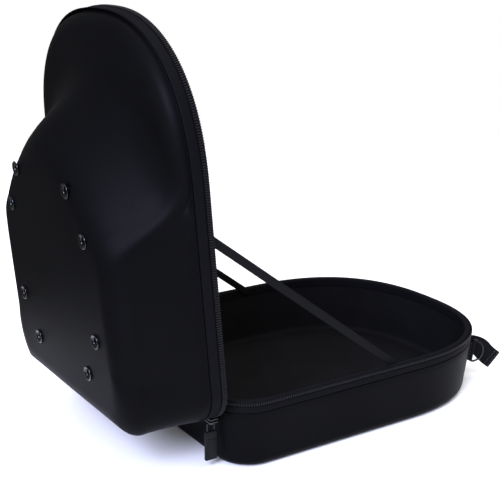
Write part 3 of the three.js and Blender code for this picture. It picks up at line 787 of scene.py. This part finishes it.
for side, name in ((-1, "near"), (1, "far")):
    flat = WIDTH / 2 - SEAT - WALL - GAP - STAY_THICK / 2
    low, high = in_base(STAY_ON_BASE, 0, 0), in_lid(STAY_ON_LID, 0, 0)
    along = (high - low).normalized()
    low, high = low - along * STAY_TAIL, high + along * STAY_TAIL
    path = []
    for i in range(STAY_STEPS + 1):
        share = i / STAY_STEPS
        sway = STAY_SWAY * math.sin(share * 7.3) * math.sin(math.pi * share)
        path.append(low.lerp(high, share) + Vector((0, side * (flat + sway), 0)))
    twist = [Vector((0.02 * math.sin(i / 9), side, 0.03 * math.sin(i / 13)))
             for i in range(STAY_STEPS + 1)]
    stay = strap(f"stay_{name}", path, twist, STAY_WIDTH, STAY_THICK, (high - low).length)
    dress(stay, "tape_cloth", (TWILL,), f"stay_tape_{name}")

# ---------------------------------------------------------------------------
# Zip sliders and pulls. Die-cast sliders lacquered black, parked at the rear corners. A wire
# loop hangs in each slider's bridge and ends in a moulded rubber pull.

SLIDER_SIDE = WIDTH / 2 - 27.5
SLIDER_BEHIND = 4.2
SLIDER_LONG = 11
SLIDER_WIDE = 7.6
SLIDER_THICK = 4
COIL_PROUD = 0.4      # the lid's coil comes this far down towards the slider
PLATE_THICK = 1.4
PLATE_LEVEL = 1.25    # each plate lies this far above or below the slider's middle
POST_WIDE = 2.2
BRIDGE_RISE = 3
BRIDGE_HALF = 3.2
BRIDGE_WIDE = 2.6
BRIDGE_THICK = 1.1
BRIDGE_ROOM = 1.3     # from the bridge's outside to the wire in it
BRIDGE_STEPS = 24
LOOP_WIDE = 6.6
LOOP_TALL = 12
LOOP_CORNER = 1.8
LOOP_WIRE = 0.7
PULL_WIDE = 11
PULL_TALL = 25
PULL_THICK = 3.2
PULL_ROUND = 0.9
PULL_GRIP = 4.4       # the loop is moulded this far into the pull
PANEL_WIDE = 7.6
PANEL_TALL = 16
PANEL_THICK = 0.7
PANEL_DROP = 2.2      # the raised panels sit this far below the pull's middle


def nickel_wire():
    """Black-nickel plate on steel wire: dark mirror metal, dulled a little by handling."""
    m = new_material("black_nickel_wire")
    place = node(m, "ShaderNodeTexCoord").outputs["Object"]
    handled = node(m, "ShaderNodeTexNoise", links={"Vector": place}, Scale=1 / (4 * MM),
                   Detail=3.0)
    rough = node(m, "ShaderNodeMapRange", links={"Value": handled.outputs["Fac"]},
                 To_Min=0.18, To_Max=0.34)
    shader = node(m, "ShaderNodeBsdfPrincipled",
                  links={"Roughness": rough.outputs["Result"]}, Metallic=1.0,
                  Base_Color=colour("#2a2b2f"))
    return finish_material(m, shader)


def pull_rubber():
    """Injection-moulded soft rubber: dark grey, satin, with the mould's fine grain."""
    m = new_material("moulded_soft_rubber")
    place = node(m, "ShaderNodeTexCoord").outputs["Object"]
    grain = node(m, "ShaderNodeTexNoise", links={"Vector": place}, Scale=1 / (0.7 * MM),
                 Detail=3.0)
    cloud = node(m, "ShaderNodeTexNoise", links={"Vector": place}, Scale=1 / (9 * MM))
    tone = node(m, "ShaderNodeMix", {"data_type": "RGBA"}, {"Factor": cloud.outputs["Fac"]},
                A=colour("#0a0a0a"), B=colour("#0f0f10"))
    bump = node(m, "ShaderNodeBump", links={"Height": grain.outputs["Fac"]},
                Strength=0.15, Distance=0.1 * MM)
    shader = node(m, "ShaderNodeBsdfPrincipled",
                  links={"Base Color": tone.outputs["Result"],
                         "Normal": bump.outputs["Normal"]},
                  Roughness=0.5, Specular_IOR_Level=0.12)
    return finish_material(m, shader)


NICKEL = nickel_wire()
RUBBER = pull_rubber()


def loop_line(width, height, radius, turns):
    """Rounded rectangle in the plane of X and Z."""
    line = []
    for side_x, side_z, start in ((1, 1, 0), (-1, 1, 90), (-1, -1, 180), (1, -1, 270)):
        for step in range(turns + 1):
            angle = math.radians(start + 90 * step / turns)
            line.append(Vector((side_x * (width / 2 - radius) + radius * math.cos(angle), 0,
                                side_z * (height / 2 - radius) + radius * math.sin(angle))))
    return line


def wire(name, line, radius, matrix, sides=14):
    """Round wire along a closed line in the plane of X and Z."""
    count = len(line)

    def at(i, j):
        middle = line[i % count]
        along = (line[(i + 1) % count] - line[i % count - 1]).normalized()
        out = Vector((0, 1, 0)).cross(along)
        angle = 2 * math.pi * j / sides
        point = middle + out * (radius * math.cos(angle))
        point.y += radius * math.sin(angle)
        return matrix @ point
    return skin(name, count, sides, at)


coil_dip = (SLIDER_BEHIND + SLIDER_WIDE / 2 - LID_BEHIND) * math.sin(math.radians(LEAN))
slider_top = BASE_HEIGHT - BAND - COIL_PROUD - coil_dip - GAP
slider_level = slider_top - SLIDER_THICK / 2
slider_foot = slider_level - SLIDER_THICK / 2
loop_top = slider_foot - BRIDGE_RISE + BRIDGE_ROOM + GAP + LOOP_WIRE
loop_middle = loop_top - LOOP_TALL / 2

for side, name in ((-1, "near"), (1, "far")):
    spot = Vector((back - SLIDER_BEHIND, side * SLIDER_SIDE, 0))
    bm = bmesh.new()
    body = Matrix.Translation(spot + Vector((0, 0, slider_level)))
    plate = rounded_box((SLIDER_WIDE, SLIDER_LONG, PLATE_THICK), 0.5, 3)
    for level in (-PLATE_LEVEL, PLATE_LEVEL):
        add_copy(bm, plate, body @ Matrix.Translation((0, 0, level)))
    add_copy(bm, rounded_box((POST_WIDE, SLIDER_LONG - 3, 2), 0.3, 2), body)
    slider = made_object(f"slider_{name}", bm, MM)
    arch = []
    for step in range(BRIDGE_STEPS + 1):
        angle = math.pi * step / BRIDGE_STEPS
        drop = (BRIDGE_RISE - 0.15) * math.sin(angle) ** 0.6
        arch.append(spot + Vector((0, BRIDGE_HALF * math.cos(angle),
                                   slider_foot + 0.5 - drop)))
    bridge = strap("bridge", arch, [Vector((0, 0, 1))] * len(arch), BRIDGE_WIDE,
                   BRIDGE_THICK, 12)
    joined(slider, [bridge])
    dress(slider, "black_metal", (LACQUER,), f"zip_slider_{name}")

    hang = Matrix.Translation(spot + Vector((0, 0, loop_middle)))
    bent = loop_line(LOOP_WIDE, LOOP_TALL, LOOP_CORNER, 6)
    loop = wire(f"wire_loop_{name}", bent, LOOP_WIRE, hang)
    dress(loop, "bright_wire", (NICKEL,), f"pull_wire_{name}")

    pull_top = loop_middle - LOOP_TALL / 2 + PULL_GRIP
    bm = bmesh.new()
    middle = Matrix.Translation(spot + Vector((0, 0, pull_top - PULL_TALL / 2)))
    add_copy(bm, rounded_box((PULL_WIDE, PULL_THICK, PULL_TALL), PULL_ROUND, 4), middle)
    panel = rounded_box((PANEL_WIDE, PANEL_THICK, PANEL_TALL), 0.3, 2)
    for face in (-1, 1):
        raised = Matrix.Translation((0, face * PULL_THICK / 2, -PANEL_DROP))
        add_copy(bm, panel, middle @ raised)
    pull = made_object(f"pull_{name}", bm, MM)
    dress(pull, "pull_rubber", (RUBBER,), f"zip_pull_{name}")

# ---------------------------------------------------------------------------
# Ring tab and D ring. Webbing folded round the straight side of a black-nickel D ring and sewn
# to the near side of the brim end, below the zip band.

RING_SIDE = WIDTH / 2 - 42.5
RING_LEVEL = 33.5
RING_TALL = 24
RING_REACH = 11.5
RING_WIRE = 0.95
RING_FOOT = 1.2       # the bow starts this far from the bar
RING_SWEEP = 80       # and sweeps this far to each side, in degrees
BAR_STEPS = 10
BOW_STEPS = 32
TAB_TALL = 19.5
TAB_ROOT = 0.6
TAB_REACH = 4
TAB_STEPS = 8
TURN_STEPS = 16
WEBBING = 1.3

WEB = woven_tape("heavy_polyester_webbing", "#0d0d0f", 1.5)


def front_station(across):
    share = math.acos((abs(across) / (WIDTH / 2)) ** (FRONT_POWER / 2)) / (math.pi / 2)
    return "front", share, math.copysign(1, across)


def wall_frame(across, level):
    """Place on the brim end's wall: X points out of the wall, Z up along its slope."""
    slope = BASE_DRAFT / (BASE_HEIGHT - BASE_EDGE - BAND)
    inset = GAP + slope * (BASE_HEIGHT - BAND - level)
    stretch, share, side = front_station(across)
    before = Vector(outline((stretch, share - 0.01, side), inset))
    after = Vector(outline((stretch, share + 0.01, side), inset))
    along = (after - before).normalized()
    out = Vector((abs(along.y), math.copysign(abs(along.x), across), 0))
    up = (out * slope + Vector((0, 0, 1))).normalized()
    sideways = up.cross(out).normalized()
    x, y = outline((stretch, share, side), inset)
    turn = axes(sideways.cross(up), sideways, up)
    return Matrix.Translation((x - LENGTH / 2, y, level)) @ turn


ring_frame = wall_frame(-RING_SIDE, RING_LEVEL)
around_wire = RING_WIRE + GAP + WEBBING / 2
tab_line = [Vector((x, -around_wire, 0)) for x in np.linspace(TAB_ROOT, TAB_REACH, TAB_STEPS)]
for step in range(1, TURN_STEPS):
    angle = math.radians(-90 + 180 * step / TURN_STEPS)
    tab_line.append(Vector((TAB_REACH + around_wire * math.cos(angle),
                            around_wire * math.sin(angle), 0)))
tab_line += [Vector((x, around_wire, 0)) for x in np.linspace(TAB_REACH, TAB_ROOT, TAB_STEPS)]
tab_faces = [ring_frame.to_3x3() @ heading(tab_line, i).cross(Vector((0, 0, 1)))
             for i in range(len(tab_line))]
tab_loop = strap("tab_loop", [ring_frame @ p for p in tab_line], tab_faces, TAB_TALL, WEBBING,
                 20)
dress(tab_loop, "tape_cloth", (WEB,), "ring_tab")

half_ring = RING_TALL / 2 - RING_WIRE
ring_line = [Vector((0, 0, z))
             for z in np.linspace(-half_ring + 1, half_ring - 1, BAR_STEPS)]
bow = RING_REACH - RING_WIRE - RING_FOOT
for step in range(BOW_STEPS + 1):
    angle = math.radians(mix(RING_SWEEP, -RING_SWEEP, step / BOW_STEPS))
    ring_line.append(Vector((RING_FOOT + bow * math.cos(angle), 0,
                             half_ring * math.sin(angle))))
ring = wire("ring", ring_line, RING_WIRE, ring_frame @ Matrix.Translation((TAB_REACH, 0, 0)))
dress(ring, "bright_wire", (NICKEL,), "d_ring")

# ---------------------------------------------------------------------------
# Webbing end. Doubled webbing with a folded hem at its end, sewn flat to the wall beside the
# ring, from where it stands out and droops.

GRAB_SIDE = WIDTH / 2 - 57.5
GRAB_LEVEL = 33
GRAB_WIDE = 19
GRAB_THICK = 2.6
GRAB_ROOT = 10        # length sewn flat to the wall
GRAB_HEM = 6
GRAB_HEM_THICK = 3.8
GRAB_HEM_STEP = 1.2   # the hem's extra thickness ends over this length
GRAB_REACH = 33       # free length, with the hem
GRAB_DROP = [4, 18, 40, 36, 30]   # its droop in degrees, piece by piece
GRAB_STEPS = 72

grab_frame = wall_frame(-GRAB_SIDE, GRAB_LEVEL)
root_lift = 2 * GAP + GRAB_THICK / 2
grab_line = [Vector((root_lift, GRAB_ROOT, 0)), Vector((root_lift, GRAB_THICK, 0)),
             Vector((root_lift + GRAB_THICK, 0, 0))]
free = GRAB_REACH - GRAB_HEM
for i, drop in enumerate(GRAB_DROP):
    angle = math.radians(drop)
    step = GRAB_HEM if i == len(GRAB_DROP) - 1 else free / (len(GRAB_DROP) - 1)
    grab_line.append(grab_line[-1] + Vector((math.cos(angle), 0, -math.sin(angle))) * step)
grab_path, grab_length = smooth_path(grab_line, GRAB_STEPS + 1)


def grab_face(i):
    """The way the webbing's face looks at a point of its path, in the wall's frame."""
    along = heading(grab_path, i)
    return Vector((-along.y, math.hypot(along.x, along.z), 0))


grab_faces = [grab_frame.to_3x3() @ grab_face(i) for i in range(GRAB_STEPS + 1)]
grab_thick = []
for i in range(GRAB_STEPS + 1):
    left = grab_length * (1 - i / GRAB_STEPS)
    hemmed = clamp((left - GRAB_HEM) / GRAB_HEM_STEP)
    grab_thick.append(mix(GRAB_HEM_THICK, GRAB_THICK, hemmed))
grab_web = strap("grab_web", [grab_frame @ p for p in grab_path], grab_faces, GRAB_WIDE,
                 grab_thick, grab_length)
dress(grab_web, "tape_cloth", (WEB,), "grab_tab")

# ---------------------------------------------------------------------------
# Stitches. Bonded polyester thread, lockstitched in rows: two across each face of the webbing
# end's hem, and two down each side of the ring tab, close to the wall.

STITCH_LONG = 2.2
STITCH_PITCH = 3.0
STITCH_THICK = 0.55
STITCH_LIFT = 0.05    # a row's middle lies this far out of the webbing
STITCH_MARGIN = 1     # and stops this far from its edges
HEM_ROWS = (1.6, GRAB_HEM - 0.6)   # from the webbing's end
TAB_ROWS = (0.9, 2.4)              # from the wall


def bonded_thread():
    """Bonded polyester thread: round, black and slightly waxy."""
    m = new_material("bonded_thread")
    place = node(m, "ShaderNodeTexCoord").outputs["Object"]
    ply = node(m, "ShaderNodeTexNoise", links={"Vector": place}, Scale=1 / (0.5 * MM))
    tone = node(m, "ShaderNodeMix", {"data_type": "RGBA"}, {"Factor": ply.outputs["Fac"]},
                A=colour("#202024"), B=colour("#34343a"))
    shader = node(m, "ShaderNodeBsdfPrincipled",
                  links={"Base Color": tone.outputs["Result"]}, Roughness=0.5)
    return finish_material(m, shader)


THREAD_FINISH = bonded_thread()


def stitches(name, rows):
    """Rows of stitches. A row is its two ends and the way out of the cloth."""
    bm = bmesh.new()
    for start, end, out in rows:
        count = max(int((end - start).length / STITCH_PITCH), 1)
        along = (end - start).normalized()
        across = out.cross(along).normalized()
        turn = axes(along, across, out.normalized())
        size = Matrix.Diagonal((STITCH_LONG / 2, STITCH_THICK / 2, STITCH_THICK / 2, 1))
        for i in range(count):
            middle = start.lerp(end, (i + 0.5) / count)
            bmesh.ops.create_icosphere(bm, subdivisions=2, radius=1,
                                       matrix=Matrix.Translation(middle) @ turn @ size)
    dress(made_object(name, bm, MM), "tape_cloth", (THREAD_FINISH,))


sewn_rows = []
for left in HEM_ROWS:
    k = round(GRAB_STEPS * (1 - left / grab_length))
    face = grab_face(k)
    across = heading(grab_path, k).cross(face).normalized()
    for side in (-1, 1):
        lift = face * side * (grab_thick[k] / 2 + STITCH_LIFT)
        reach = GRAB_WIDE / 2 - STITCH_MARGIN
        ends = [grab_frame @ (grab_path[k] + lift + across * half) for half in (-reach, reach)]
        sewn_rows.append((*ends, grab_frame.to_3x3() @ (face * side)))
for side in (-1, 1):
    for away in TAB_ROWS:
        lift = side * (around_wire + WEBBING / 2 + STITCH_LIFT)
        reach = TAB_TALL / 2 - STITCH_MARGIN
        ends = [ring_frame @ Vector((away, lift, z)) for z in (-reach, reach)]
        sewn_rows.append((*ends, ring_frame.to_3x3() @ Vector((0, side, 0))))
stitches("strap_stitches", sewn_rows)

# ---------------------------------------------------------------------------
# Studio. White paper for a floor, a white room that the black cloth reflects only dimly, a
# broad light overhead, a cool softbox in front of the lid at the left, and a camera where the
# photograph was taken from. Sizes here are in metres.

FLOOR_LONG = 1.9
FLOOR_WIDE = 1.15
FLOOR_TURN = 14       # the floor's left edge runs along the left edge of the picture
FLOOR_LEFT = 0.36
FLOOR_AHEAD = 0.285   # the floor's middle lies this far past the object
ROOM_SEEN = 1.0
ROOM_REFLECTED = 0.2
CAMERA_YAW = 56.70

floor_mesh = bmesh.new()
bmesh.ops.create_grid(floor_mesh, x_segments=1, y_segments=1, size=0.5)
bmesh.ops.transform(floor_mesh, verts=floor_mesh.verts,
                    matrix=Matrix.Rotation(math.radians(CAMERA_YAW + FLOOR_TURN), 4, "Z")
                    @ Matrix.Translation((FLOOR_AHEAD, FLOOR_LEFT - FLOOR_WIDE / 2, 0))
                    @ Matrix.Diagonal((FLOOR_LONG, FLOOR_WIDE, 1, 1)))
floor = made_object("floor", floor_mesh)
paper = new_material("white_paper")
paper_grain = node(paper, "ShaderNodeTexNoise", Scale=60.0)
paper_tone = node(paper, "ShaderNodeMix", {"data_type": "RGBA"},
                  {"Factor": paper_grain.outputs["Fac"]}, A=colour("#f4f4f4"), B=colour("#f7f7f7"))
paper_shader = node(paper, "ShaderNodeBsdfPrincipled",
                    links={"Base Color": paper_tone.outputs["Result"]}, Roughness=0.9)
finish_material(paper, paper_shader)
floor.data.materials.append(paper)

world = bpy.data.worlds.new("studio")
world.use_nodes = True
bpy.context.scene.world = world
sky = world.node_tree
sky.nodes["Background"].inputs["Color"].default_value = colour("#ffffff")
seen = sky.nodes.new("ShaderNodeLightPath")
strength = sky.nodes.new("ShaderNodeMapRange")
strength.inputs["To Min"].default_value = ROOM_SEEN
strength.inputs["To Max"].default_value = ROOM_REFLECTED
sky.links.new(seen.outputs["Is Glossy Ray"], strength.inputs["Value"])
sky.links.new(strength.outputs["Result"], sky.nodes["Background"].inputs["Strength"])


def softbox(name, place, aim, size, power, tint="#ffffff"):
    lamp = bpy.data.lights.new(name, "AREA")
    lamp.shape = "RECTANGLE"
    lamp.size, lamp.size_y = size
    lamp.energy = power
    lamp.color = colour(tint)[:3]
    made = bpy.data.objects.new(name, lamp)
    made.location = place
    made.rotation_euler = (Vector(aim) - Vector(place)).to_track_quat("-Z", "Y").to_euler()
    bpy.context.scene.collection.objects.link(made)


softbox("top_light", place=(0.2, -0.1, 1.7), aim=(0, 0, 0), size=(2.2, 2.2), power=26)
softbox("front_light", place=(-1.35, -0.95, 1.1), aim=(-0.2, 0, 0.2), size=(0.8, 0.7), power=64,
        tint="#d4daff")

CAMERA_PLACE = (-0.5625, -0.7637, 0.4082)
CAMERA_DOWN = 15.75
CAMERA_ROLL = 0.27
CAMERA_LENS = 76.77

yaw, down, roll = (math.radians(a) for a in (CAMERA_YAW, CAMERA_DOWN, CAMERA_ROLL))
ahead = Vector((math.cos(yaw) * math.cos(down), math.sin(yaw) * math.cos(down),
                -math.sin(down)))
right = Vector((math.sin(yaw), -math.cos(yaw), 0))
above = right.cross(ahead)
right_rolled = right * math.cos(roll) + above * math.sin(roll)
above_rolled = above * math.cos(roll) - right * math.sin(roll)
lens = bpy.data.cameras.new("camera")
lens.sensor_width = 36
lens.lens = CAMERA_LENS
lens.clip_start = 0.05
camera = bpy.data.objects.new("camera", lens)
camera.matrix_world = (Matrix.Translation(CAMERA_PLACE)
                       @ axes(right_rolled, above_rolled, -ahead))
bpy.context.scene.collection.objects.link(camera)
bpy.context.scene.camera = camera
bpy.context.scene.view_settings.view_transform = "Standard"
